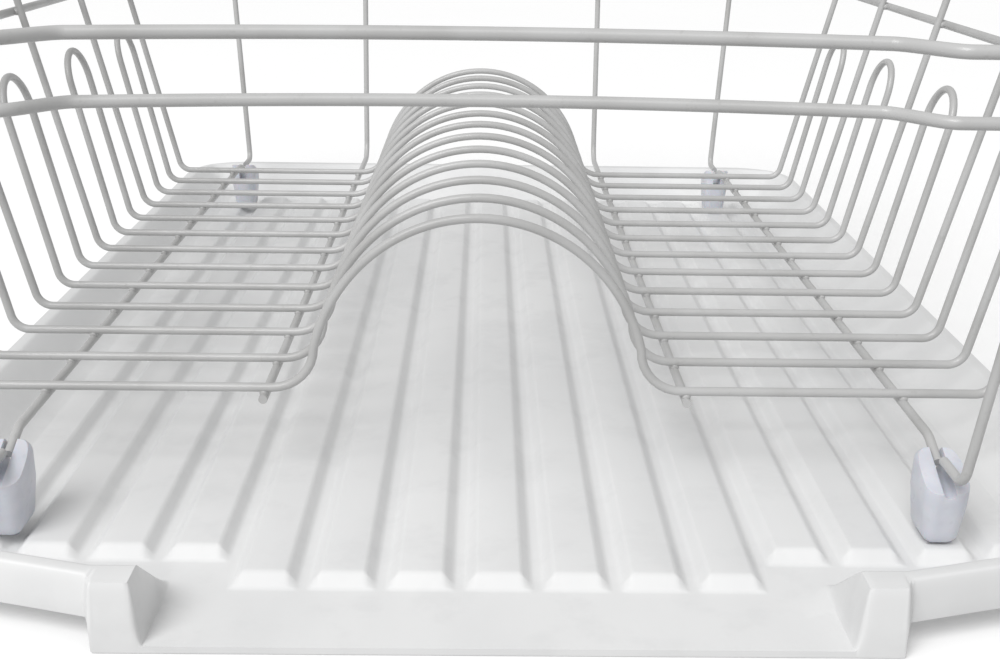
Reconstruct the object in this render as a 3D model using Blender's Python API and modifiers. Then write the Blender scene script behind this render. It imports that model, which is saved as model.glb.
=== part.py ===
"""Plastic-coated wire dish drying rack standing in a ribbed plastic drain tray.

Every wire is a bent round bar.  The cross wires have a round hump in the middle that keeps two
rows of plates apart.  The rack stands on four push-on feet, and the whole rack lifts off the tray.
Lengths are in metres, the floor of the table is z = 0, and the open spout faces -Y.
"""
import math

import bmesh
import bpy
from mathutils import Vector

# ---- driving dimensions -------------------------------------------------------------------
wire_r = 0.0014            # coated wire
top_rail_r = 0.00170       # the two rim rails are thicker
low_rail_r = 0.0016
gap = 0.0003               # room left between neighbouring pieces
pitch = 0.0254             # cross wire to cross wire
wire_count = 13
floor_z = 0.0336           # centre of the cross wires above the table
lean = 0.235               # side legs lean outward by this much per unit of height
top_z = floor_z + 0.1117   # top rail
low_z = floor_z + 0.0953   # lower rail
leg_x = 0.1575             # where a leg would meet the rack floor with a sharp corner
wire_end_z = top_z + 0.0012
runner_z = floor_z - 2 * wire_r - gap
y_shift = -0.0015          # puts the whole object's box in the middle of the frame

hump_x = 0.0510            # half width of the hump
hump_z = 0.0536            # height of the hump
hump_foot = 0.0130         # radius where the hump turns into the floor

leg_bend = 0.0060          # inner radius where the floor of a wire turns up into a leg
post_y = 0.2060
post_lean = 0.128
rail_y = 0.2075            # the rails lean with the wires of the back, not with the posts

foot_x = {"left": -0.1312, "right": 0.1308}
foot_y = 0.1900
foot_base = floor_z - 0.0283
foot_height = 0.0248

tray_x = 0.0064            # the rack stands a little left of the tray's centre
tray_half_x = 0.1768
tray_back = 0.2470
tray_front = 0.2200        # line of the front corners; the middle is drawn further forward
tray_corner = 0.0340
sheet = 0.0018
groove_z = sheet           # top of the sheet in the grooves
ridge_height = 0.0032
rim_z = groove_z + 0.0168
skirt = 0.0095             # the rim is turned down this far along the outer edge
flange = 0.0060
wall_foot = 0.0267
ridge_pitch = 0.0209
ridge_top = 0.0060         # half width of a ridge along its top
ridge_foot = 0.0088        # half width of a ridge along its base
margin_x = 0.1403          # the floor beside the last groove is raised as far as the wall
spout_in = 0.0885          # half width of the open spout
spout_out = 0.1004         # outer side of the two cheeks beside the spout
arm_x = 0.1024


def clear_scene():
    for thing in list(bpy.data.objects):
        bpy.data.objects.remove(thing, do_unlink=True)


def new_collection(name):
    group = bpy.data.collections.new(name)
    bpy.context.scene.collection.children.link(group)
    return group


def make_material(name, colour, roughness):
    material = bpy.data.materials.new(name)
    material.use_nodes = True
    shader = material.node_tree.nodes["Principled BSDF"]
    shader.inputs["Base Color"].default_value = (*colour, 1.0)
    shader.inputs["Roughness"].default_value = roughness
    return material


def finish_mesh(thing, colour, roughness):
    """Apply what is pending, shade the mesh and give the piece its own material."""
    thing.data.materials.clear()
    thing.data.materials.append(make_material(thing.name, colour, roughness))
    for other in bpy.context.selected_objects:
        other.select_set(False)
    thing.select_set(True)
    bpy.context.view_layer.objects.active = thing
    bpy.ops.object.shade_smooth()
    thing.data.set_sharp_from_angle(angle=math.radians(40))
    thing.location.y += y_shift
    bpy.context.view_layer.update()
    thing.data.transform(thing.matrix_world)
    thing.matrix_world.identity()


def rounded(points, radius, steps):
    """The same path with every inner corner replaced by an arc of the given radius."""
    points = [Vector(p) for p in points]
    path = [points[0]]
    for before, corner, after in zip(points, points[1:], points[2:]):
        back = (before - corner).normalized()
        ahead = (after - corner).normalized()
        half = back.angle(ahead) / 2
        reach = radius / math.tan(half)
        centre = corner + (back + ahead).normalized() * (radius / math.sin(half))
        start = corner + back * reach - centre
        end = corner + ahead * reach - centre
        sweep = start.angle(end)
        for step in range(steps + 1):
            t = step / steps
            arm = (start * math.sin((1 - t) * sweep) + end * math.sin(t * sweep)) / math.sin(sweep)
            path.append(centre + arm)
    path.append(points[-1])
    return path


def bend_wire(name, path, radius, group, closed=False):
    """A round bar that follows the path."""
    curve = bpy.data.curves.new(name, "CURVE")
    curve.dimensions = "3D"
    curve.bevel_depth = radius
    curve.bevel_resolution = 2
    curve.use_fill_caps = True
    spline = curve.splines.new("POLY")
    spline.points.add(len(path) - 1)
    for point, place in zip(spline.points, path):
        point.co = (*place, 1.0)
    spline.use_cyclic_u = closed
    rod = bpy.data.objects.new(name + "_curve", curve)
    group.objects.link(rod)
    bpy.context.view_layer.update()
    mesh = bpy.data.meshes.new_from_object(rod.evaluated_get(bpy.context.evaluated_depsgraph_get()))
    bpy.data.objects.remove(rod, do_unlink=True)
    work = bmesh.new()
    work.from_mesh(mesh)
    bmesh.ops.remove_doubles(work, verts=work.verts, dist=0.00005)
    bmesh.ops.recalc_face_normals(work, faces=work.faces)
    work.to_mesh(mesh)
    work.free()
    mesh.name = name
    thing = bpy.data.objects.new(name, mesh)
    group.objects.link(thing)
    finish_mesh(thing, (0.78, 0.78, 0.77), 0.35)
    return thing


def hump_path(y):
    """The floor and hump of a cross wire, from left to right, without the side legs."""
    turn = hump_foot
    start = math.asin(turn / hump_z)
    right = []
    steps = 7
    for step in range(steps):
        a = math.pi / 2 - (math.pi / 2 - start) * step / (steps - 1)
        right.append((hump_x * math.cos(a), hump_z * math.sin(a)))
    edge = right[-1][0]
    for step in (1, 2, 3):
        a = math.pi + math.pi / 2 * step / 3
        right.append((edge + turn + turn * math.cos(a), turn + turn * math.sin(a)))
    left = [(-x, z) for x, z in reversed(right[1:])]
    return [(x, y, floor_z + z) for x, z in left + right]


def cross_wire(number, group):
    """A single cross wire: both legs run up to the top rail."""
    y = (number - (wire_count + 1) / 2) * pitch
    rise = wire_end_z - floor_z
    tip = leg_x + lean * rise
    middle = hump_path(y)
    left = rounded([(-tip, y, wire_end_z), (-leg_x, y, floor_z), middle[0]], leg_bend, 3)
    right = [(-x, py, z) for x, py, z in reversed(left)]
    bend_wire(f"cross_wire_{number}", left[:-1] + middle + right[1:], wire_r, group)


def loop_wire(number, group):
    """Two cross wires in one: a closed loop with a hairpin at the top of each side."""
    y = (number - (wire_count + 1) / 2) * pitch
    half = pitch / 2
    turn_z = 0.0629
    slant = 0.215
    near = hump_path(y)
    base = rounded([(leg_x + slant * turn_z, y, floor_z + turn_z), (leg_x, y, floor_z), near[-1]],
                   leg_bend, 3)
    base.reverse()
    path = near + base[1:]
    for step in range(1, 8):
        a = math.pi * step / 8
        z = turn_z + half * math.sin(a)
        path.append((leg_x + slant * z, y + half - half * math.cos(a), floor_z + z))
    far_side = [(x, 2 * (y + half) - py, z) for x, py, z in reversed(near + base[1:])]
    path += far_side
    left_leg = [(-x, py, z) for x, py, z in reversed(far_side[:len(base) - 1])]
    path += list(left_leg)
    for step in range(1, 8):
        a = math.pi * step / 8
        z = turn_z + half * math.sin(a)
        path.append((-leg_x - slant * z, y + half + half * math.cos(a), floor_z + z))
    path += [(-x, py, z) for x, py, z in reversed(base[1:])]
    bend_wire(f"loop_wire_{number}_{number + 1}", path, wire_r, group, closed=True)


def inner_runner(side, group):
    """Runs under the cross wires and turns up the back of the rack to the top rail."""
    x = {"left": -0.0650, "right": 0.0640}[side]
    front = -(6 * pitch + 0.0025)
    corner = 0.2075
    tip_y = corner + 0.115 * (wire_end_z - runner_z)
    path = rounded([(x, front, runner_z), (x, corner, runner_z), (x, tip_y, wire_end_z)], 0.010, 4)
    bend_wire(f"inner_runner_{side}", path, wire_r, group)


def outer_runner(side, group):
    """Runs under the cross wires; both ends dip into the slots of the feet."""
    x = foot_x[side]
    dip = runner_z - 0.0042
    end = 0.1862
    half = [(x, 0.1765, runner_z), (x, end, dip)]
    points = [(x, -end, dip), (x, -0.1765, runner_z), half[0], half[1]]
    path = rounded(points, 0.008, 2)
    bend_wire(f"outer_runner_{side}", path, wire_r, group)


def corner_post(side, end, group):
    """A short leg lies in the slot of the foot, then the post rises outside it to the rails."""
    x = foot_x[side]
    way = -1 if end == "front" else 1
    spread = math.copysign(0.07, x)
    leg_z = runner_z - 0.0018
    rise = wire_end_z - leg_z
    tip = (x + spread * rise, way * (post_y + post_lean * rise), wire_end_z)
    points = [(x, way * 0.1905, leg_z), (x, way * post_y, leg_z), tip]
    bend_wire(f"{end}_post_{side}", rounded(points, 0.005, 3), wire_r, group)


def rim_rail(name, z, radius, group):
    """A closed rail round the outside of all the uprights, stepped in along the open front."""
    above = z - floor_z
    reach = (wire_r + radius + gap) * 1.03
    half_x = leg_x + lean * above + reach
    half_y = rail_y + 0.115 * (z - runner_z) + reach
    corner = 0.0350
    step_depth = 0.0140
    bow_depth = 0.0092
    path = []
    for turn, (sx, sy) in enumerate(((1, 1), (-1, 1))):
        for step in range(7):
            a = math.pi / 2 * (turn + step / 6)
            path.append((sx * (half_x - corner) + corner * math.cos(a),
                         sy * (half_y - corner) + corner * math.sin(a), z))
    for step in range(7):
        a = math.pi + math.pi / 2 * step / 6
        path.append((-(half_x - corner) + corner * math.cos(a),
                     -(half_y - corner) + corner * math.sin(a), z))
    for t in (0.0, 0.25, 0.5, 0.75, 1.0):
        ease = t * t * (3 - 2 * t)
        path.append((-0.111 + 0.015 * t, -half_y + step_depth * ease, z))
    bow_steps = 8
    for step in range(1, bow_steps):
        t = step / bow_steps
        bow = 4 * t * (1 - t)
        path.append((-0.096 + 0.192 * t, -half_y + step_depth + bow_depth * bow, z))
    for t in (1.0, 0.75, 0.5, 0.25, 0.0):
        ease = t * t * (3 - 2 * t)
        path.append((0.111 - 0.015 * t, -half_y + step_depth * ease, z))
    for step in range(7):
        a = 1.5 * math.pi + math.pi / 2 * step / 6
        path.append(((half_x - corner) + corner * math.cos(a),
                     -(half_y - corner) + corner * math.sin(a), z))
    bend_wire(name, path, radius, group, closed=True)


def cut_with(body, cutter):
    """Take the cutter's shape out of the body."""
    cut = body.modifiers.new("cut", "BOOLEAN")
    cut.operation = "DIFFERENCE"
    cut.solver = "EXACT"
    cut.object = cutter
    bpy.context.view_layer.update()
    shape = bpy.data.meshes.new_from_object(
        body.evaluated_get(bpy.context.evaluated_depsgraph_get()))
    body.modifiers.clear()
    body.data = shape


def block(name, size, centre, group):
    """A plain box mesh with its corners already in place."""
    mesh = bpy.data.meshes.new(name)
    work = bmesh.new()
    bmesh.ops.create_cube(work, size=1.0)
    for vert in work.verts:
        vert.co = Vector(centre) + Vector(v * s for v, s in zip(vert.co, size))
    work.to_mesh(mesh)
    work.free()
    thing = bpy.data.objects.new(name, mesh)
    group.objects.link(thing)
    return thing


def push_on_foot(side, end, group, cutters):
    """A soft plastic foot: tapered block, open slot along Y, top sloping down towards the post."""
    way = -1 if end == "front" else 1
    x = foot_x[side]
    base = foot_base
    top = base + foot_height
    name = f"foot_{end}_{side}"
    body = block(name, (0.0126, 0.0180, foot_height), (x, way * foot_y, base + foot_height / 2), group)
    work = bmesh.new()
    work.from_mesh(body.data)
    upright = [e for e in work.edges if abs(e.verts[0].co.z - e.verts[1].co.z) > 0.01]
    bmesh.ops.bevel(work, geom=upright, offset=0.0040, segments=3, profile=0.5, affect="EDGES")
    low = [e for e in work.edges if max(v.co.z for v in e.verts) < base + 0.0001]
    bmesh.ops.bevel(work, geom=low, offset=0.0022, segments=2, profile=0.5, affect="EDGES")
    for vert in work.verts:
        height = (vert.co.z - base) / foot_height
        narrow = 0.78 + 0.22 * min(1.0, height / 0.55)
        vert.co.x = x + (vert.co.x - x) * narrow
        vert.co.y = way * foot_y + (vert.co.y - way * foot_y) * narrow
    work.to_mesh(body.data)
    work.free()

    slot = block(name + "_slot", (0.0037, 0.05, 0.02), (x, way * foot_y, top), cutters)
    mouth = block(name + "_mouth", (0.0072, 0.05, 0.02), (x, way * foot_y, top), cutters)
    slope = block(name + "_slope", (0.03, 0.05, 0.02), (x, way * foot_y, top), cutters)
    for vert in slot.data.vertices:
        if vert.co.z < top:
            vert.co.z = top - 0.0090
    for vert in mouth.data.vertices:
        if vert.co.z < top:
            vert.co.z = top - 0.0034
            vert.co.x = x + (vert.co.x - x) * 0.34
    for vert in slope.data.vertices:
        if vert.co.z < top:
            toward_post = way * (vert.co.y - way * foot_y) / 0.025
            vert.co.z = top - 0.0035 - 0.0118 * toward_post
    for cutter in (slot, mouth, slope):
        cutter.hide_render = True
        cutter.display_type = "WIRE"
        cut_with(body, cutter)
    finish_mesh(body, (0.70, 0.72, 0.80), 0.40)


def rim_height(inset):
    """Height of the sheet over the rim and wall, at a distance in from the tray's edge."""
    edge = 0.0010
    if inset < edge:
        return rim_z - skirt * (edge - inset) / edge
    if inset < flange:
        return rim_z
    if inset < wall_foot:
        return rim_z + (groove_z - rim_z) * (inset - flange) / (wall_foot - flange)
    return groove_z


def arm_reach(x):
    """How far the rim is drawn forward of the front corners at this distance from the centre."""
    away = min(1.0, max(0.0, (abs(x) - arm_x) / 0.0744))
    return 0.0195 * (1 - away) ** 1.1


def edge_reach(x):
    """The same for the outline: the spout and its cheeks stand out a little further."""
    if abs(x) < spout_out + 0.0001:
        return 0.0240
    return arm_reach(x)


def ridge_end(x):
    """Where the raised floor ends at the front."""
    if abs(x) < 3 * ridge_pitch + ridge_foot + 0.0005:
        return -0.2125
    return -0.1980


def drain_tray(group):
    """One moulded sheet: ribbed floor, sloping walls, turned-down rim and an open spout."""
    insets = [0.0, 0.0010, flange, 0.0164, wall_foot]
    columns = []
    for inset in insets:
        columns += [tray_half_x - inset, inset - tray_half_x]
    for number in range(-6, 7):
        middle = number * ridge_pitch
        columns += [middle - ridge_foot, middle - ridge_top, middle + ridge_top, middle + ridge_foot]
    for x in (spout_in, spout_in + 0.0012, spout_out, arm_x, margin_x - 0.0028, margin_x):
        columns += [x, -x]
    columns.sort()
    front_insets = [0.0, 0.0010, 0.0055, 0.0105, 0.0209, 0.0312]
    back_insets = [wall_foot, 0.0164, flange, 0.0010, 0.0]
    row_count = len(front_insets) + 4 + len(back_insets)

    work = bmesh.new()
    bmesh.ops.create_grid(work, x_segments=len(columns) - 1, y_segments=row_count - 1, size=1.0)
    for vert in work.verts:
        column = round((vert.co.x + 1) / 2 * (len(columns) - 1))
        row = round((vert.co.y + 1) / 2 * (row_count - 1))
        x = columns[column]
        side_inset = tray_half_x - abs(x)
        off_ridge = min(abs(x - n * ridge_pitch) for n in range(-6, 7))
        raised = off_ridge < ridge_top + 0.0001 or abs(x) > margin_x - 0.0001
        in_spout = abs(x) < spout_out + 0.0001
        z = rim_height(side_inset)
        forward = 0.0
        if row < len(front_insets):
            inset = front_insets[row]
            if not in_spout:
                inset = (0.0, 0.0010, flange, 0.0110, 0.0189, wall_foot)[row]
            elif abs(x) < spout_in + 0.0001:
                inset *= 0.75
            y = inset - tray_front
            forward = edge_reach(x)
            z = rim_height(min(side_inset, inset))
            if abs(x) < spout_in + 0.0001:
                z = groove_z
            elif in_spout and row == 0:
                z = groove_z
            elif in_spout:
                z = rim_height(max(0.0010, inset - 0.0045))
        elif row < len(front_insets) + 4:
            place = row - len(front_insets)
            inside = wall_foot - tray_front - arm_reach(x)
            top = max(ridge_end(x), inside + 0.0047)
            y = [top - 0.0042, top, 0.2130, 0.2162][place]
            if place in (1, 2) and raised:
                z = max(z, groove_z + ridge_height)
        else:
            inset = back_insets[row - len(front_insets) - 4]
            y = tray_back - inset
            z = rim_height(min(side_inset, inset))
        limit = tray_back if y > 0 else tray_front
        u = max(0.0, abs(x) - (tray_half_x - tray_corner)) / tray_corner
        v = max(0.0, abs(y) - (limit - tray_corner)) / tray_corner
        if u > 0 and v > 0:
            x = math.copysign(tray_half_x - tray_corner + tray_corner * u * math.sqrt(1 - v * v / 2), x)
            y = math.copysign(limit - tray_corner + tray_corner * v * math.sqrt(1 - u * u / 2), y)
        vert.co = (tray_x + x, y - forward, z)
    bmesh.ops.recalc_face_normals(work, faces=work.faces)
    mesh = bpy.data.meshes.new("drain_tray")
    work.to_mesh(mesh)
    work.free()
    thing = bpy.data.objects.new("drain_tray", mesh)
    group.objects.link(thing)
    up = sum(face.normal.z for face in mesh.polygons)
    thicken = thing.modifiers.new("sheet", "SOLIDIFY")
    thicken.thickness = sheet
    thicken.offset = -1.0 if up > 0 else 1.0
    thicken.use_even_offset = False
    bpy.context.view_layer.update()
    shape = bpy.data.meshes.new_from_object(
        thing.evaluated_get(bpy.context.evaluated_depsgraph_get()))
    thing.modifiers.clear()
    thing.data = shape
    finish_mesh(thing, (0.88, 0.88, 0.88), 0.25)


clear_scene()
rack = new_collection("dish_drying_rack")
cutters = new_collection("cutters")

for number in (1, 4, 7, 10, 13):
    cross_wire(number, rack)
for number in (2, 5, 8, 11):
    loop_wire(number, rack)
for side in ("left", "right"):
    inner_runner(side, rack)
    outer_runner(side, rack)
    for end in ("front", "back"):
        corner_post(side, end, rack)
        push_on_foot(side, end, rack, cutters)
rim_rail("lower_rail", low_z, low_rail_r, rack)
rim_rail("top_rail", top_z, top_rail_r, rack)
drain_tray(rack)
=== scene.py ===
# %% [markdown]
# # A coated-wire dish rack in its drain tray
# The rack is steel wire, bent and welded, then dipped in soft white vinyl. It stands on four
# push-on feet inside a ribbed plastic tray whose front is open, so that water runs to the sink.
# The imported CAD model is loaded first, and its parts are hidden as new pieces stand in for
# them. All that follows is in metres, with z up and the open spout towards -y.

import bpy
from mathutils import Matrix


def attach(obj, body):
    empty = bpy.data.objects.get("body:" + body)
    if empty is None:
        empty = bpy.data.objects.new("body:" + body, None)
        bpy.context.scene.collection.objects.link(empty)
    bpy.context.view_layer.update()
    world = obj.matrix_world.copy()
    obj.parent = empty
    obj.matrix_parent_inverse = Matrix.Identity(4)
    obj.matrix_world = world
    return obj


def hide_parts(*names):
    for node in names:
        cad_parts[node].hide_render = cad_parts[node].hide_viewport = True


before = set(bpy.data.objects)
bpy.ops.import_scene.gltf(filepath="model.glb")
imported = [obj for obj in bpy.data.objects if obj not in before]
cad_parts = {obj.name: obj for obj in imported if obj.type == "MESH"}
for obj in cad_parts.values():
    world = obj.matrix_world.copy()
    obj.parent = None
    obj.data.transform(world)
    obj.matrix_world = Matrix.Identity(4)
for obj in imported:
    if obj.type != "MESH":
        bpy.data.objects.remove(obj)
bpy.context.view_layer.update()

# %% Tools used in every step
import math

import bpy
from mathutils import Euler, Matrix, Vector


def clear_selection():
    if bpy.context.object and bpy.context.object.mode != "OBJECT":
        bpy.ops.object.mode_set(mode="OBJECT")
    bpy.ops.object.select_all(action="DESELECT")


def pick(piece):
    clear_selection()
    piece.select_set(True)
    bpy.context.view_layer.objects.active = piece


def apply_place(piece):
    """Put the place and size of the object into its mesh."""
    pick(piece)
    bpy.ops.object.transform_apply(location=True, rotation=True, scale=True)


def smooth(piece, degrees=35):
    pick(piece)
    bpy.ops.object.shade_smooth_by_angle(angle=math.radians(degrees))


def copy_of(piece, name, shift=(0, 0, 0)):
    """A copy with a mesh of its own, moved by the shift."""
    twin = piece.copy()
    twin.data = piece.data.copy()
    twin.name = name
    twin.data.name = name
    bpy.context.scene.collection.objects.link(twin)
    twin.data.transform(Matrix.Translation(Vector(shift)))
    return twin


def report(piece):
    size = [round(v * 1000, 1) for v in piece.dimensions]
    print(f"{piece.name}: {size} mm, {len(piece.data.polygons)} faces")


# %% [markdown]
# ## Sizes
# A rack maker works from the spacing of the wires: one inch from plate slot to plate slot.
# The height of the rack floor, the lean of the side legs and the two rails are in scale with
# it.

# %% Sizes of the rack
wire_r = 0.0014
top_rail_r = 0.00170
low_rail_r = 0.0016
gap = 0.0003
pitch = 0.0254
wire_count = 13
shift_y = -0.0015
floor_z = 0.0336
lean = 0.235
leg_x = 0.1575
top_z = floor_z + 0.1117
low_z = floor_z + 0.0953
wire_end_z = top_z + 0.0012
runner_z = floor_z - 2 * wire_r - gap
rail_y = 0.2075
rail_lean = 0.115
post_y = 0.2060
post_lean = 0.128
post_spread = 0.07         # posts lean outward by this much per unit of height
leg_bend = 0.0060
rail_corner_r = 0.0350
step_depth = 0.0140        # how far the rails step in along the open front
bow_depth = 0.0092         # how much further they bow in at the middle
step_outer_x = 0.111
step_inner_x = 0.096
contact_slack = 1.03       # the uprights lean, so a rail stands this much further out

hump_x = 0.0510
hump_z = 0.0536
hump_foot = 0.0130

# %% [markdown]
# ## Shader arithmetic
# Finishes are easier to read as sums than as a web of nodes. A small class holds one output
# socket and turns Python's operators into Math nodes; one method adds any other node.

# %% Sums of sockets
class Amount:
    """One number that varies over a surface."""

    def __init__(self, finish, socket):
        self.finish = finish
        self.socket = socket

    def _sum(self, operation, first, second):
        node = self.finish.add("ShaderNodeMath", {"operation": operation}, {0: first, 1: second})
        return Amount(self.finish, node.outputs[0])

    def __add__(self, other):
        return self._sum("ADD", self, other)

    def __radd__(self, other):
        return self._sum("ADD", other, self)

    def __sub__(self, other):
        return self._sum("SUBTRACT", self, other)

    def __rsub__(self, other):
        return self._sum("SUBTRACT", other, self)

    def __mul__(self, other):
        return self._sum("MULTIPLY", self, other)


class Finish:
    """A material built around one Principled shader."""

    def __init__(self, name):
        self.material = bpy.data.materials.new(name)
        self.material.use_nodes = True
        self.tree = self.material.node_tree
        self.shader = self.tree.nodes["Principled BSDF"]
        self.place = self.add("ShaderNodeTexCoord").outputs["Object"]

    def add(self, kind, settings=None, sockets=None):
        node = self.tree.nodes.new(kind)
        for name, value in (settings or {}).items():
            setattr(node, name, value)
        for name, value in (sockets or {}).items():
            self.feed(node.inputs[name], value)
        return node

    def feed(self, socket, value):
        if isinstance(value, Amount):
            value = value.socket
        if isinstance(value, bpy.types.NodeSocket):
            self.tree.links.new(value, socket)
        else:
            socket.default_value = value

    def noise(self, scale, detail=3.0, stretch=(1, 1, 1), roughness=0.5):
        """Cloudy noise from 0 to 1, with its grain drawn out along the small stretch axes."""
        turned = self.add("ShaderNodeMapping", {}, {"Vector": self.place, "Scale": stretch})
        sockets = {"Vector": turned.outputs[0], "Scale": scale, "Detail": detail,
                   "Roughness": roughness}
        return Amount(self, self.add("ShaderNodeTexNoise", {}, sockets).outputs["Fac"])

    def between(self, value, start, end):
        """0 below start, 1 above end, smooth in between."""
        node = self.add("ShaderNodeMapRange", {"interpolation_type": "SMOOTHSTEP"},
                        {"Value": value, "From Min": start, "From Max": end})
        return Amount(self, node.outputs["Result"])

    def blend(self, factor, first, second):
        node = self.add("ShaderNodeMix", {"data_type": "RGBA"}, {0: factor, 6: first, 7: second})
        return node.outputs[2]

    def axis(self, name):
        split = self.add("ShaderNodeSeparateXYZ", {}, {0: self.place})
        return Amount(self, split.outputs[name])

    def set(self, name, value):
        self.feed(self.shader.inputs[name], value)

    def bump(self, height, strength, depth):
        node = self.add("ShaderNodeBump", {},
                        {"Height": height, "Strength": strength, "Distance": depth})
        self.set("Normal", node.outputs[0])


# %% [markdown]
# ## The vinyl coat
# Dipped vinyl is satin, slightly grey beside the tray, and never quite even: it dries with a
# fine orange peel and shallow drips, and it picks up scuffs from plates.

# %% Finish: vinyl-coated wire
def vinyl_coat():
    coat = Finish("coated_wire_vinyl")
    cloud = coat.noise(38.0, 3.0)
    scuff = coat.between(coat.noise(310.0, 4.0, roughness=0.65), 0.60, 0.74)
    peel = coat.noise(1150.0, 2.0)
    drip = coat.noise(190.0, 1.0)
    white = (0.480, 0.480, 0.477, 1.0)
    grey = (0.420, 0.419, 0.414, 1.0)
    mark = (0.330, 0.327, 0.318, 1.0)
    colour = coat.blend(coat.between(cloud, 0.35, 0.70), white, grey)
    coat.set("Base Color", coat.blend(scuff * 0.35, colour, mark))
    coat.set("Roughness", 0.33 + cloud * 0.10 + scuff * 0.18)
    coat.set("Coat Weight", 0.12)
    coat.bump(peel * 0.5 + drip, 0.35, 0.00012)
    return coat.material


# %% [markdown]
# ## The tray's plastic
# The tray is white moulded plastic with a soft gloss. Close up it has faint flow marks along
# its length, fine scratches from washing, and a haze of dried water on the floor.

# %% Finish: tray plastic
def tray_plastic():
    plastic = Finish("moulded_white_plastic")
    flow = plastic.noise(14.0, 3.0, (1.6, 0.5, 1.0))
    haze = plastic.between(plastic.noise(52.0, 4.0, roughness=0.6), 0.48, 0.68)
    scratch = plastic.between(plastic.noise(900.0, 2.0, (1.0, 0.035, 1.0)), 0.63, 0.72)
    grain = plastic.noise(1600.0, 2.0)
    low_down = 1.0 - plastic.between(plastic.axis("Z"), 0.0050, 0.0230)
    clean = (0.745, 0.747, 0.747, 1.0)
    milky = (0.700, 0.703, 0.705, 1.0)
    film = (0.655, 0.658, 0.660, 1.0)
    colour = plastic.blend(plastic.between(flow, 0.35, 0.68), clean, milky)
    plastic.set("Base Color", plastic.blend(haze * low_down * 0.40, colour, film))
    plastic.set("Roughness", 0.36 + haze * low_down * 0.16 + scratch * 0.10)
    plastic.set("Specular IOR Level", 0.35)
    plastic.bump(grain * 0.30 - scratch * 0.25, 0.20, 0.00008)
    return plastic.material


# %% [markdown]
# ## The feet's plastic
# The feet are a softer plastic with a cool, slightly blue white. Light sinks a little way in,
# so their edges look soft; the sides carry the fine matt skin of the mould.

# %% Finish: foot plastic
def foot_plastic():
    plastic = Finish("soft_bluish_plastic")
    cloud = plastic.noise(120.0, 3.0)
    skin = plastic.noise(2400.0, 2.0)
    rub = plastic.between(plastic.noise(420.0, 4.0), 0.58, 0.72)
    cool = (0.565, 0.580, 0.635, 1.0)
    pale = (0.620, 0.634, 0.685, 1.0)
    dull = (0.500, 0.512, 0.565, 1.0)
    colour = plastic.blend(plastic.between(cloud, 0.35, 0.70), cool, pale)
    plastic.set("Base Color", plastic.blend(rub * 0.3, colour, dull))
    plastic.set("Roughness", 0.36 + rub * 0.15)
    plastic.set("Subsurface Weight", 0.15)
    plastic.set("Subsurface Scale", 0.003)
    plastic.bump(skin + cloud, 0.20, 0.00010)
    return plastic.material


# %% Make the three finishes
vinyl = vinyl_coat()
tray_white = tray_plastic()
foot_white = foot_plastic()
print("finishes:", vinyl.name, tray_white.name, foot_white.name)


def finish_piece(piece, material, body, slot, *nodes):
    """Give the piece its material and tie it to the CAD body and nodes that it stands for."""
    piece.data.materials.clear()
    piece.data.materials.append(material)
    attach(piece, body)
    if nodes:
        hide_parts(*nodes)
    report(piece)


# %% [markdown]
# ## Bending wire
# A wire bender feeds straight wire and turns it round pins. The same two moves give a path
# here: straight runs, and arcs wherever the path has a corner. The path becomes a poly curve
# with a round section, which is made a mesh, and the cut ends are bevelled, because the vinyl
# gathers there in a rounded cap.

# %% Paths and round sections
def rounded(points, radius, steps):
    """The same path with every inner corner replaced by an arc."""
    points = [Vector(p) for p in points]
    path = [points[0]]
    for before, corner, after in zip(points, points[1:], points[2:]):
        back = (before - corner).normalized()
        ahead = (after - corner).normalized()
        half = back.angle(ahead) / 2
        centre = corner + (back + ahead).normalized() * (radius / math.sin(half))
        start = corner + back * (radius / math.tan(half)) - centre
        end = corner + ahead * (radius / math.tan(half)) - centre
        sweep = start.angle(end)
        for step in range(steps + 1):
            t = step / steps
            path.append(centre + (start * math.sin((1 - t) * sweep)
                                  + end * math.sin(t * sweep)) / math.sin(sweep))
    path.append(points[-1])
    return path


def bend_wire(name, path, radius, closed=False, sides=6):
    clear_selection()
    bpy.ops.curve.primitive_bezier_curve_add()
    wire = bpy.context.object
    wire.name = name
    wire.data.splines.clear()
    spline = wire.data.splines.new("POLY")
    spline.points.add(len(path) - 1)
    for point, place in zip(spline.points, path):
        point.co = (place[0], place[1] + shift_y, place[2], 1.0)
    spline.use_cyclic_u = closed
    wire.data.dimensions = "3D"
    wire.data.bevel_depth = radius
    wire.data.bevel_resolution = sides
    wire.data.use_fill_caps = not closed
    bpy.ops.object.convert(target="MESH")
    wire = bpy.context.object
    bpy.ops.object.mode_set(mode="EDIT")
    bpy.ops.mesh.select_all(action="SELECT")
    bpy.ops.mesh.remove_doubles(threshold=0.00005)
    if not closed:
        bpy.ops.mesh.select_all(action="DESELECT")
        bpy.ops.object.mode_set(mode="OBJECT")
        for face in wire.data.polygons:
            face.select = len(face.vertices) > 4
        bpy.ops.object.mode_set(mode="EDIT")
        bpy.ops.mesh.region_to_loop()
        bpy.ops.mesh.bevel(offset=radius * 0.75, segments=4, affect="EDGES")
    bpy.ops.mesh.select_all(action="SELECT")
    bpy.ops.mesh.normals_make_consistent(inside=False)
    bpy.ops.object.mode_set(mode="OBJECT")
    smooth(wire, 45)
    return wire


def wire_y(number):
    """Where a cross wire lies, counted from the front."""
    return (number - (wire_count + 1) / 2) * pitch


# %% [markdown]
# ## Cross wires
# Each cross wire is flat on the rack floor, climbs over a round hump in the middle and ends in
# a leg at both sides. The hump is close to a half ellipse that flares into the floor. Every
# third wire is single and its legs reach the top rail.

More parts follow.
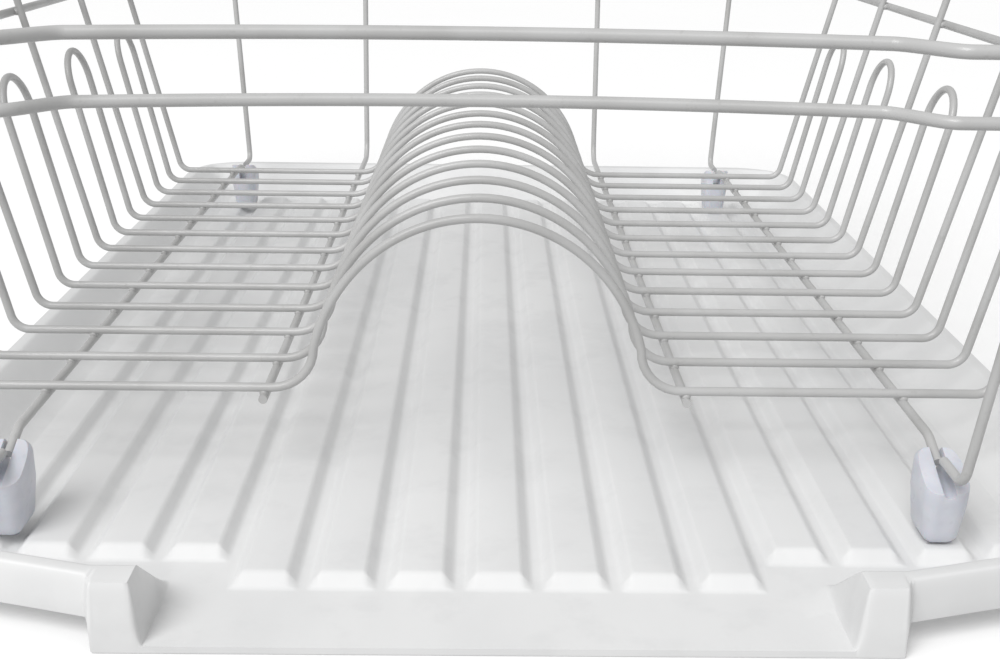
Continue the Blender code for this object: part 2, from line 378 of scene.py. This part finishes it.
# %% Floor and hump of a wire
def hump_path(y, steps=22):
    start = math.asin(hump_foot / hump_z)
    right = []
    for step in range(steps + 1):
        a = math.pi / 2 - (math.pi / 2 - start) * step / steps
        right.append((hump_x * math.cos(a), hump_z * math.sin(a)))
    edge = right[-1][0]
    for step in range(1, 9):
        a = math.pi + math.pi / 2 * step / 8
        right.append((edge + hump_foot + hump_foot * math.cos(a),
                      hump_foot + hump_foot * math.sin(a)))
    left = [(-x, z) for x, z in reversed(right[1:])]
    return [Vector((x, y, floor_z + z)) for x, z in left + right]


def cross_wire_path(y):
    middle = hump_path(y)
    tip = leg_x + lean * (wire_end_z - floor_z)
    left = rounded([(-tip, y, wire_end_z), (-leg_x, y, floor_z), middle[0]], leg_bend, 9)
    right = [Vector((-p.x, p.y, p.z)) for p in reversed(left)]
    return left[:-1] + middle + right[1:]


single = bend_wire("cross_wire_1_coated", cross_wire_path(wire_y(1)), wire_r)
for number in (4, 7, 10, 13):
    twin = copy_of(single, f"cross_wire_{number}_coated", (0, wire_y(number) - wire_y(1), 0))
    finish_piece(twin, vinyl, "rack", "coated_wire", f"cross_wire_{number}")
finish_piece(single, vinyl, "rack", "coated_wire", "cross_wire_1")

# %% [markdown]
# ## Double wires with hairpins
# Between two single wires lies a pair that is really one closed wire: at both sides it turns
# back in a hairpin that stands free below the lower rail and keeps plates from sliding out.

# %% One closed loop, copied
def loop_path(y):
    half = pitch / 2
    turn_z = 0.0629
    slant = 0.215
    near = hump_path(y)
    leg = rounded([(leg_x + slant * turn_z, y, floor_z + turn_z), (leg_x, y, floor_z), near[-1]],
                  leg_bend, 9)
    leg.reverse()
    near_half = near + leg[1:]
    arch = []
    for step in range(1, 20):
        a = math.pi * step / 20
        z = turn_z + half * math.sin(a)
        arch.append(Vector((leg_x + slant * z, y + half - half * math.cos(a), floor_z + z)))
    far_half = [Vector((p.x, 2 * (y + half) - p.y, p.z)) for p in reversed(near_half)]
    left_leg = [Vector((-p.x, p.y, p.z)) for p in reversed(far_half[:len(leg) - 1])]
    left_arch = [Vector((-p.x, p.y, p.z)) for p in reversed(arch)]
    last_leg = [Vector((-p.x, p.y, p.z)) for p in reversed(leg[1:])]
    return near_half + arch + far_half + left_leg + left_arch + last_leg


double = bend_wire("loop_wire_2_3_coated", loop_path(wire_y(2)), wire_r, closed=True)
for number in (5, 8, 11):
    twin = copy_of(double, f"loop_wire_{number}_{number + 1}_coated",
                   (0, wire_y(number) - wire_y(2), 0))
    finish_piece(twin, vinyl, "rack", "coated_wire", f"loop_wire_{number}_{number + 1}")
finish_piece(double, vinyl, "rack", "coated_wire", "loop_wire_2_3")

# %% [markdown]
# ## Runners and posts
# Four runners carry the cross wires from below. The inner two stop just past the first wire
# and turn up the back wall; the outer two dip into the slots of the feet. A post hooks into
# each foot from outside and rises to the rails.

# %% Runners
foot_x = {"left": -0.1312, "right": 0.1308}
inner_x = {"left": -0.0650, "right": 0.0640}
leg_z = runner_z - 0.0018     # the posts lie this high in the feet
inner_overhang = 0.0025       # the inner runners stop this far in front of the first wire
runner_bend_y = 0.1765        # the outer runners bend down here
runner_end_y = 0.1862
runner_dip = 0.0042
post_end_y = 0.1905


def inner_runner(side):
    x = inner_x[side]
    front = wire_y(1) - inner_overhang
    tip_y = rail_y + rail_lean * (wire_end_z - runner_z)
    path = rounded([(x, front, runner_z), (x, rail_y, runner_z), (x, tip_y, wire_end_z)],
                   0.010, 10)
    runner = bend_wire(f"inner_runner_{side}_coated", path, wire_r)
    finish_piece(runner, vinyl, "rack", "coated_wire", f"inner_runner_{side}")


def outer_runner(side):
    x = foot_x[side]
    dip = runner_z - runner_dip
    points = [(x, -runner_end_y, dip), (x, -runner_bend_y, runner_z),
              (x, runner_bend_y, runner_z), (x, runner_end_y, dip)]
    runner = bend_wire(f"outer_runner_{side}_coated", rounded(points, 0.010, 6), wire_r)
    finish_piece(runner, vinyl, "rack", "coated_wire", f"outer_runner_{side}")


def corner_post(side, end):
    x = foot_x[side]
    way = -1 if end == "front" else 1
    rise = wire_end_z - leg_z
    tip = (x + math.copysign(post_spread, x) * rise,
           way * (post_y + post_lean * rise), wire_end_z)
    points = [(x, way * post_end_y, leg_z), (x, way * post_y, leg_z), tip]
    post = bend_wire(f"{end}_post_{side}_coated", rounded(points, 0.005, 8), wire_r)
    finish_piece(post, vinyl, "rack", "coated_wire", f"{end}_post_{side}")


for side in ("left", "right"):
    inner_runner(side)
    outer_runner(side)
    for end in ("front", "back"):
        corner_post(side, end)

# %% [markdown]
# ## Rim rails
# Two thicker wires run round the outside of all the uprights. Along the open front both step
# in and then bow gently towards the plates, which keeps a hand-hold clear of the spout.

# %% Closed rails
def rail_reach(z, radius):
    """Half width and half depth of a rail at its height."""
    reach = (wire_r + radius + gap) * contact_slack
    return (leg_x + lean * (z - floor_z) + reach,
            rail_y + rail_lean * (z - runner_z) + reach)


def rail_corner(centre_x, centre_y, z, turn):
    """A quarter circle of rail round its centre; turn counts quarters from the +x side."""
    angles = [math.pi / 2 * (turn + step / 18) for step in range(19)]
    return [(centre_x + rail_corner_r * math.cos(a),
             centre_y + rail_corner_r * math.sin(a), z) for a in angles]


def rim_rail(name, z, radius):
    half_x, half_y = rail_reach(z, radius)
    cx, cy = half_x - rail_corner_r, half_y - rail_corner_r
    path = rail_corner(cx, cy, z, 0) + rail_corner(-cx, cy, z, 1) + rail_corner(-cx, -cy, z, 2)
    step_in = []
    for step in range(13):
        t = step / 12
        step_in.append((step_outer_x + (step_inner_x - step_outer_x) * t,
                        -half_y + step_depth * t * t * (3 - 2 * t)))
    path += [(-x, y, z) for x, y in step_in]
    for step in range(1, 32):
        t = step / 32
        path.append((step_inner_x * (2 * t - 1),
                     -half_y + step_depth + bow_depth * 4 * t * (1 - t), z))
    path += [(x, y, z) for x, y in reversed(step_in)]
    path += rail_corner(cx, -cy, z, 3)
    rail = bend_wire(name + "_coated", path, radius, closed=True)
    finish_piece(rail, vinyl, "rack", "coated_wire", name)


rim_rail("lower_rail", low_z, low_rail_r)
rim_rail("top_rail", top_z, top_rail_r)

# %% [markdown]
# ## Weld beads
# Wherever two wires cross they are fused, and the dipped vinyl fills the corner with a small
# soft bead. One bead is modelled from a sphere, drawn in at its waist, and copied to every
# crossing; all the copies are joined, because the coat is one skin.

# %% One bead
bead_size = (0.00155, 0.00155, 0.00130)


def make_bead():
    clear_selection()
    bpy.ops.mesh.primitive_uv_sphere_add(segments=12, ring_count=8, radius=1.0)
    bead = bpy.context.object
    bead.name = "weld_beads"
    bpy.ops.object.mode_set(mode="EDIT")
    bpy.ops.mesh.select_all(action="SELECT")
    bpy.ops.transform.resize(value=bead_size)
    bpy.ops.object.mode_set(mode="OBJECT")
    for vert in bead.data.vertices:
        waist = 1.0 - 0.12 * (1.0 - min(1.0, abs(vert.co.z) / 0.0008))
        vert.co.x *= waist
        vert.co.y *= waist
    smooth(bead, 60)
    return bead


def bead_places():
    """The middle of every crossing, and the direction from one wire to the other."""
    under = floor_z - wire_r - gap / 2
    for number in range(1, wire_count + 1):
        for x in (*inner_x.values(), *foot_x.values()):
            yield Vector((x, wire_y(number), under)), Vector((0, 0, 1))
    for z, radius in ((low_z, low_rail_r), (top_z, top_rail_r)):
        half_x, half_y = rail_reach(z, radius)
        touch = radius + gap / 2
        for number in (1, 4, 7, 10, 13):
            for way in (-1, 1):
                yield Vector((way * (half_x - touch), wire_y(number), z)), Vector((1, 0, 0))
        for x in foot_x.values():
            spread = x + math.copysign(post_spread, x) * (z - leg_z)
            for way in (-1, 1):
                yield Vector((spread, way * (half_y - touch), z)), Vector((0, 1, 0))
        for x in inner_x.values():
            yield Vector((x, half_y - touch, z)), Vector((0, 1, 0))


bead = make_bead()
beads = []
for place, across in bead_places():
    twin = copy_of(bead, "bead")
    turn = Vector((0, 0, 1)).rotation_difference(across).to_matrix().to_4x4()
    twin.data.transform(Matrix.Translation(place + Vector((0, shift_y, 0))) @ turn)
    beads.append(twin)
bpy.data.objects.remove(bead, do_unlink=True)
clear_selection()
for twin in beads:
    twin.select_set(True)
bpy.context.view_layer.objects.active = beads[0]
bpy.ops.object.join()
bead_skin = bpy.context.object
bead_skin.name = "weld_beads"
finish_piece(bead_skin, vinyl, "rack", "coated_wire")

# %% [markdown]
# ## Push-on feet
# A foot is a tapered block with soft corners. A slot runs through its top from front to back,
# where the runner and the post are pushed in, and the top slopes down towards the post. It is
# carved like a block of wax: corners bevelled, base drawn in, top cut off at a slant, slot cut.

# %% One foot
foot_base = floor_z - 0.0283
foot_y = 0.1900
foot_height = 0.0248
foot_width = 0.0126
foot_depth = 0.0180
foot_draw = 0.78           # the base is this fraction of the top
foot_taper_z = 0.55 * foot_height
slot_width = 0.0037
slot_depth = 0.0090
mouth_width = 0.0072       # the slot opens to this width at its top
mouth_depth = 0.0034
mouth_close = 0.34         # and is this fraction of that width at its lower edge
cutter_height = 0.0200
slope_drop = 0.0035        # the top lies this much lower at the middle of the foot
slope_run = 0.472          # and falls at this rate towards the post


def select_edges(piece, wanted):
    bpy.ops.object.mode_set(mode="OBJECT")
    mesh = piece.data
    for thing in (*mesh.vertices, *mesh.edges, *mesh.polygons):
        thing.select = False
    for edge in mesh.edges:
        ends = [mesh.vertices[i].co for i in edge.vertices]
        edge.select = wanted(*ends)
    bpy.ops.object.mode_set(mode="EDIT")
    bpy.ops.mesh.select_mode(type="EDGE")


def cut(body, cutter):
    """Take the cutter out of the body and throw the cutter away."""
    pick(body)
    knife = body.modifiers.new("cut", "BOOLEAN")
    knife.operation = "DIFFERENCE"
    knife.solver = "EXACT"
    knife.object = cutter
    bpy.ops.object.modifier_apply(modifier=knife.name)
    bpy.data.objects.remove(cutter, do_unlink=True)


def make_foot(way):
    """A foot at the origin, base at z = 0; way is -1 where the post is on the -y side."""
    clear_selection()
    bpy.ops.mesh.primitive_cube_add(size=1.0, location=(0, 0, foot_height / 2),
                                    scale=(foot_width, foot_depth, foot_height))
    foot = bpy.context.object
    apply_place(foot)
    select_edges(foot, lambda a, b: abs(a.z - b.z) > 0.01)
    bpy.ops.mesh.bevel(offset=0.0040, segments=6, affect="EDGES")
    select_edges(foot, lambda a, b: max(a.z, b.z) < 0.0001)
    bpy.ops.mesh.bevel(offset=0.0024, segments=5, affect="EDGES")
    bpy.ops.mesh.select_all(action="SELECT")
    bpy.ops.mesh.bisect(plane_co=(0, 0, foot_taper_z), plane_no=(0, 0, 1))
    bpy.ops.object.mode_set(mode="OBJECT")
    for vert in foot.data.vertices:
        narrow = foot_draw + (1 - foot_draw) * min(1.0, vert.co.z / foot_taper_z)
        vert.co.x *= narrow
        vert.co.y *= narrow

    clear_selection()
    bpy.ops.mesh.primitive_cube_add(size=1.0, location=(0, 0, foot_height + cutter_height / 2),
                                    scale=(0.03, 0.05, cutter_height))
    slope = bpy.context.object
    apply_place(slope)
    for vert in slope.data.vertices:
        if vert.co.z < foot_height + cutter_height / 2:
            vert.co.z = foot_height - slope_drop - slope_run * way * vert.co.y
    cut(foot, slope)

    clear_selection()
    floor = foot_height - slot_depth
    bpy.ops.mesh.primitive_cube_add(size=1.0, location=(0, 0, floor + cutter_height / 2),
                                    scale=(slot_width, 0.05, cutter_height))
    slot = bpy.context.object
    apply_place(slot)
    select_edges(slot, lambda a, b: abs(a.y - b.y) > 0.01 and max(a.z, b.z) < floor + 0.0001)
    bpy.ops.mesh.bevel(offset=0.0017, segments=5, affect="EDGES")
    bpy.ops.object.mode_set(mode="OBJECT")
    cut(foot, slot)

    clear_selection()
    mouth_z = foot_height - mouth_depth
    bpy.ops.mesh.primitive_cube_add(size=1.0, location=(0, 0, mouth_z + cutter_height / 2),
                                    scale=(mouth_width, 0.06, cutter_height))
    mouth = bpy.context.object
    apply_place(mouth)
    for vert in mouth.data.vertices:
        if vert.co.z < foot_height:
            vert.co.x *= mouth_close
    cut(foot, mouth)
    print("foot faces after cutting", len(foot.data.polygons))

    pick(foot)
    soften = foot.modifiers.new("soften", "BEVEL")
    soften.width = 0.0007
    soften.segments = 3
    soften.limit_method = "ANGLE"
    soften.angle_limit = math.radians(38)
    bpy.ops.object.modifier_apply(modifier=soften.name)
    smooth(foot, 50)
    return foot


for end, way in (("front", -1), ("back", 1)):
    pattern = make_foot(way)
    for side in ("left", "right"):
        foot = copy_of(pattern, f"foot_{end}_{side}_moulded",
                       (foot_x[side], way * foot_y + shift_y, foot_base))
        finish_piece(foot, foot_white, "rack", "foot_plastic", f"foot_{end}_{side}")
    bpy.data.objects.remove(pattern, do_unlink=True)

# %% [markdown]
# ## The drain tray
# The tray is one moulded sheet, so it is made as one: a grid whose lines stand close together
# where the sheet bends and far apart where it is flat. Each point is lifted to the height of
# ribs, walls and rim. A moulded bend is never sharp, so the height at a point is the average
# over a small square round it. A second grid makes the underside. It follows the centre of a
# ball that rolls along below the upper face, and the ball's radius is the thickness of the
# sheet. Both grids are drawn round at their corners, joined, and bridged along their edge.

# %% Sizes of the tray
tray_x = 0.0064
tray_half_x = 0.1768
tray_back = 0.2470
tray_front = 0.2200
tray_corner = 0.0340
sheet = 0.0018
groove_z = sheet
ridge_height = 0.0032
rim_z = groove_z + 0.0168
skirt = 0.0095
skirt_run = 0.0010
flange = 0.0060
wall_foot = 0.0267
ridge_pitch = 0.0209
ridge_top = 0.0060
ridge_foot = 0.0088
ridge_run = 0.0042
margin_x = 0.1403
spout_in = 0.0885
spout_out = 0.1004
arm_x = 0.1024
arm_depth = 0.0195         # the rim is drawn this far forward beside the spout
lip_depth = 0.0045         # and the spout itself this much further
cheek_run = 0.0012
margin_run = 0.0028
back_end = 0.2130          # the raised floor ends here at the back
back_run = 0.0032
spout_ridge_y = -0.2125    # the middle ridges run on into the spout and end here
outer_ridge_y = -0.1980    # the others end here, or this far inside the foot of the wall:
ridge_inside = 0.0070
soft = 0.0008              # half the width over which a bend is averaged


# %% Heights over the tray
def ramp(value, start, end):
    """0 at start, 1 at end, straight in between."""
    return min(1.0, max(0.0, (value - start) / (end - start)))


def arm_reach(x):
    """How far the front rim is drawn forward of the corners at this distance from the middle."""
    return arm_depth * (1 - ramp(abs(x), arm_x, tray_half_x)) ** 1.1


def edge_reach(x):
    """The same for the outline: the spout and its cheeks stand out a little further."""
    return arm_reach(x) + lip_depth * (1 - ramp(abs(x), spout_out, arm_x))


def ridge_end(x):
    """Where the raised floor ends towards the spout."""
    if abs(x) < 3 * ridge_pitch + ridge_foot + 0.0010:
        return spout_ridge_y
    return max(outer_ridge_y, wall_foot - tray_front - arm_reach(x) + ridge_inside)


def tray_height(x, y, beyond=0.0):
    """Height of the upper face with sharp bends; the skirt may run on a little past the edge."""
    side = tray_half_x - abs(x)
    back = tray_back - y
    edge = max(-beyond, min(side, back, y + tray_front + edge_reach(x)))
    inset = min(side, back, y + tray_front + arm_reach(x))
    away = min(abs(x - n * ridge_pitch) for n in range(-6, 7))
    raised = max(1 - ramp(away, ridge_top, ridge_foot),
                 ramp(abs(x), margin_x - margin_run, margin_x))
    raised = min(raised, ramp(y, ridge_end(x) - ridge_run, ridge_end(x)),
                 1 - ramp(y, back_end, back_end + back_run))
    floor = groove_z + ridge_height * raised
    if abs(x) < spout_in and back > wall_foot + 0.002:
        return floor
    wall = rim_z + (groove_z - rim_z) * ramp(inset, flange, wall_foot)
    if abs(x) < spout_out and y < 0:
        wall = min(wall, groove_z + (rim_z - groove_z) * min(1.0, edge / skirt_run))
        wall = groove_z + (wall - groove_z) * ramp(abs(x), spout_in, spout_in + cheek_run)
        return max(floor, wall)
    return max(floor, wall) - skirt * max(0.0, 1 - edge / skirt_run)


def top_height(x, y):
    """Height of the upper face, with every bend moulded soft."""
    steps = (-1, -0.5, 0, 0.5, 1)
    return sum(tray_height(x + dx * soft, y + dy * soft, soft)
               for dx in steps for dy in steps) / 25


ball = [(0.0, 0.0)]
for ring in (0.5, 0.86, 1.0):
    for turn in range(8):
        angle = math.pi / 4 * turn
        ball.append((ring * math.cos(angle), ring * math.sin(angle)))


def under_height(x, y):
    """Height of the lower face: the centre of a ball that touches the upper face from below."""
    return min(tray_height(x + sheet * dx, y + sheet * dy)
               - sheet * math.sqrt(max(0.0, 1 - dx * dx - dy * dy)) for dx, dy in ball)


# %% Grid lines of the tray
def around(*places):
    """Lines close together on both sides of every bend."""
    lines = []
    for place in places:
        lines += [place + step * soft * 0.5 for step in (-2, -1, 0, 1, 2)]
    return lines


least_step = 0.00012


def sorted_lines(lines, low, high):
    """Lines in order inside the limits, none closer together than the least step."""
    kept = [low]
    for line in sorted(lines):
        if kept[-1] + least_step < line < high - least_step:
            kept.append(line)
    return kept + [high]


columns = []
for number in range(-6, 7):
    middle = number * ridge_pitch
    columns += around(middle - ridge_foot, middle - ridge_top)
    columns += around(middle + ridge_top, middle + ridge_foot)
for way in (-1, 1):
    columns += around(way * spout_in, way * (spout_in + cheek_run), way * spout_out, way * arm_x)
    columns += around(way * (margin_x - margin_run), way * margin_x)
    columns += around(way * (tray_half_x - wall_foot), way * (tray_half_x - flange))
    columns += [way * (tray_half_x - inset)
                for inset in (0.0003, 0.0006, 0.0009, 0.0012, 0.0015, 0.0018, 0.0026, 0.0038)]
    columns += [way * (arm_x + step) for step in (0.0030, 0.0055, 0.0085)]
    columns += [way * (tray_half_x - inset) for inset in (0.0095, 0.0130, 0.0165, 0.0200)]
columns = sorted_lines(columns, -tray_half_x, tray_half_x)

edge_rows = [0.0, 0.0003, 0.0006, 0.0009, 0.0012, 0.0015, 0.0018, 0.0024, 0.0034]
wall_rows = sorted_lines(around(flange, wall_foot) + [0.0095, 0.0130, 0.0165, 0.0200, 0.0235],
                         flange - soft, wall_foot + 0.0012)
rib_rows = sorted_lines(around(-ridge_run, 0.0) + [0.0018, 0.0100], -0.0052, 0.0160)
length_rows = [-0.14, -0.09, -0.04, 0.01, 0.06, 0.11, 0.16, 0.19]
back_rows = sorted_lines(around(back_end, back_end + back_run), 0.2115, 0.2175)
end_rows = len(edge_rows) + len(wall_rows)
row_count = 2 * end_rows + len(rib_rows) + len(length_rows) + len(back_rows)
print("tray grid", len(columns), "by", row_count)


def row_places(x):
    """The y of every row at this distance across the tray, from front to back."""
    rows = [step - tray_front - edge_reach(x) for step in edge_rows]
    # There is no wall in the spout, and its rows are drawn in to end short of the ridges.
    squeeze = 0.72 if abs(x) < spout_in - 0.0010 else 1.0
    rows += [step * squeeze - tray_front - arm_reach(x) for step in wall_rows]
    rows += [ridge_end(x) + step for step in rib_rows]
    rows += length_rows + back_rows
    rows += [tray_back - step for step in reversed(edge_rows + wall_rows)]
    return rows


# %% Lift, round off and close the sheet
def corner_round(x, y):
    limit = tray_back if y > 0 else tray_front
    u = min(1.0, max(0.0, abs(x) - (tray_half_x - tray_corner)) / tray_corner)
    v = min(1.0, max(0.0, abs(y) - (limit - tray_corner)) / tray_corner)
    if u > 0 and v > 0:
        far_x = tray_half_x - tray_corner + tray_corner * u * math.sqrt(1 - v * v / 2)
        far_y = limit - tray_corner + tray_corner * v * math.sqrt(1 - u * u / 2)
        return math.copysign(far_x, x), math.copysign(far_y, y)
    return x, y


rows_at = [row_places(x) for x in columns]


def tray_face(name, height):
    """A grid lifted to the given height and drawn round at its corners."""
    clear_selection()
    bpy.ops.mesh.primitive_grid_add(x_subdivisions=len(columns) - 1,
                                    y_subdivisions=row_count - 1, size=2.0)
    face = bpy.context.object
    face.name = name
    for vert in face.data.vertices:
        column = round((vert.co.x + 1) / 2 * (len(columns) - 1))
        row = round((vert.co.y + 1) / 2 * (row_count - 1))
        x = columns[column]
        y = rows_at[column][row]
        z = height(x, y)
        forward = 0.0
        if row < len(edge_rows):
            forward = edge_reach(x)
        elif row < end_rows:
            forward = arm_reach(x)
        x, y = corner_round(x, y + forward)
        vert.co = (tray_x + x, y - forward + shift_y, z)
    return face


tray = tray_face("drain_tray_moulded", top_height)
under = tray_face("tray_under", under_height)
pick(under)
bpy.ops.object.mode_set(mode="EDIT")
bpy.ops.mesh.select_all(action="SELECT")
bpy.ops.mesh.flip_normals()
bpy.ops.object.mode_set(mode="OBJECT")
pick(tray)
under.select_set(True)
bpy.ops.object.join()
bpy.ops.object.mode_set(mode="EDIT")
bpy.ops.mesh.select_all(action="DESELECT")
bpy.ops.mesh.select_mode(type="EDGE")
bpy.ops.mesh.select_non_manifold()
bpy.ops.mesh.bridge_edge_loops()
bpy.ops.object.mode_set(mode="OBJECT")
smooth(tray, 50)
finish_piece(tray, tray_white, "tray", "tray_plastic", "drain_tray")

# %% [markdown]
# ## Floor, light and camera
# A white object on a white ground is read by its shaded undersides. So the light comes from the
# front left and above, a wide soft sun and one weak square lamp, and the floor is left out of
# the bounced light, because it would fill every underside. The floor glows a little itself, so
# that it stays white, and the plain "Standard" colours keep that white from turning grey.
# The camera stands low in front of the spout and looks down over the row of humps.

# %% Pale floor
def floor_finish():
    paper = Finish("pale_floor")
    cloud = paper.noise(3.0, 2.0)
    paper.set("Base Color", paper.blend(cloud, (0.93, 0.93, 0.93, 1), (0.95, 0.95, 0.95, 1)))
    paper.set("Roughness", 0.85)
    paper.set("Emission Color", (1.0, 1.0, 1.0, 1.0))
    paper.set("Emission Strength", 0.06)
    return paper.material


clear_selection()
bpy.ops.mesh.primitive_plane_add(size=120.0, location=(0, 0, -0.0004))
ground = bpy.context.object
ground.name = "pale_floor"
ground.visible_diffuse = False
apply_place(ground)
ground.data.materials.append(floor_finish())

# %% Soft light
def soft_light(name, place, target, size, power):
    clear_selection()
    bpy.ops.object.light_add(type="AREA", location=place)
    lamp = bpy.context.object
    lamp.name = name
    lamp.data.shape = "SQUARE"
    lamp.data.size = size
    lamp.data.energy = power
    aim = Vector(target) - Vector(place)
    lamp.rotation_euler = aim.to_track_quat("-Z", "Y").to_euler()


clear_selection()
bpy.ops.object.light_add(type="SUN", location=(-1, -1, 2))
key = bpy.context.object
key.name = "window_light"
key.data.energy = 2.05
key.data.angle = math.radians(38)
key.rotation_euler = Vector((0.45, 0.75, -0.90)).to_track_quat("-Z", "Y").to_euler()
soft_light("front_lamp", (-0.35, -0.65, 0.75), (0, -0.20, 0), 0.5, 1.2)
world = bpy.context.scene.world or bpy.data.worlds.new("studio")
bpy.context.scene.world = world
world.use_nodes = True
world.node_tree.nodes["Background"].inputs[0].default_value = (1.0, 1.0, 1.0, 1.0)
world.node_tree.nodes["Background"].inputs[1].default_value = 0.54
bpy.context.scene.view_settings.view_transform = "Standard"

# %% Camera
clear_selection()
bpy.ops.object.camera_add(location=(0.00093, -0.5163, 0.1801))
camera = bpy.context.object
pitch_down, turn_right, roll = 0.3404, 0.0158, 0.0157
camera.rotation_euler = (Euler((math.pi / 2 - pitch_down, 0, -turn_right)).to_matrix()
                         @ Matrix.Rotation(roll, 3, "Z")).to_euler()
camera.data.lens = 46.08
camera.data.sensor_width = 36.0
bpy.context.scene.camera = camera
print("camera at", [round(v, 3) for v in camera.location])
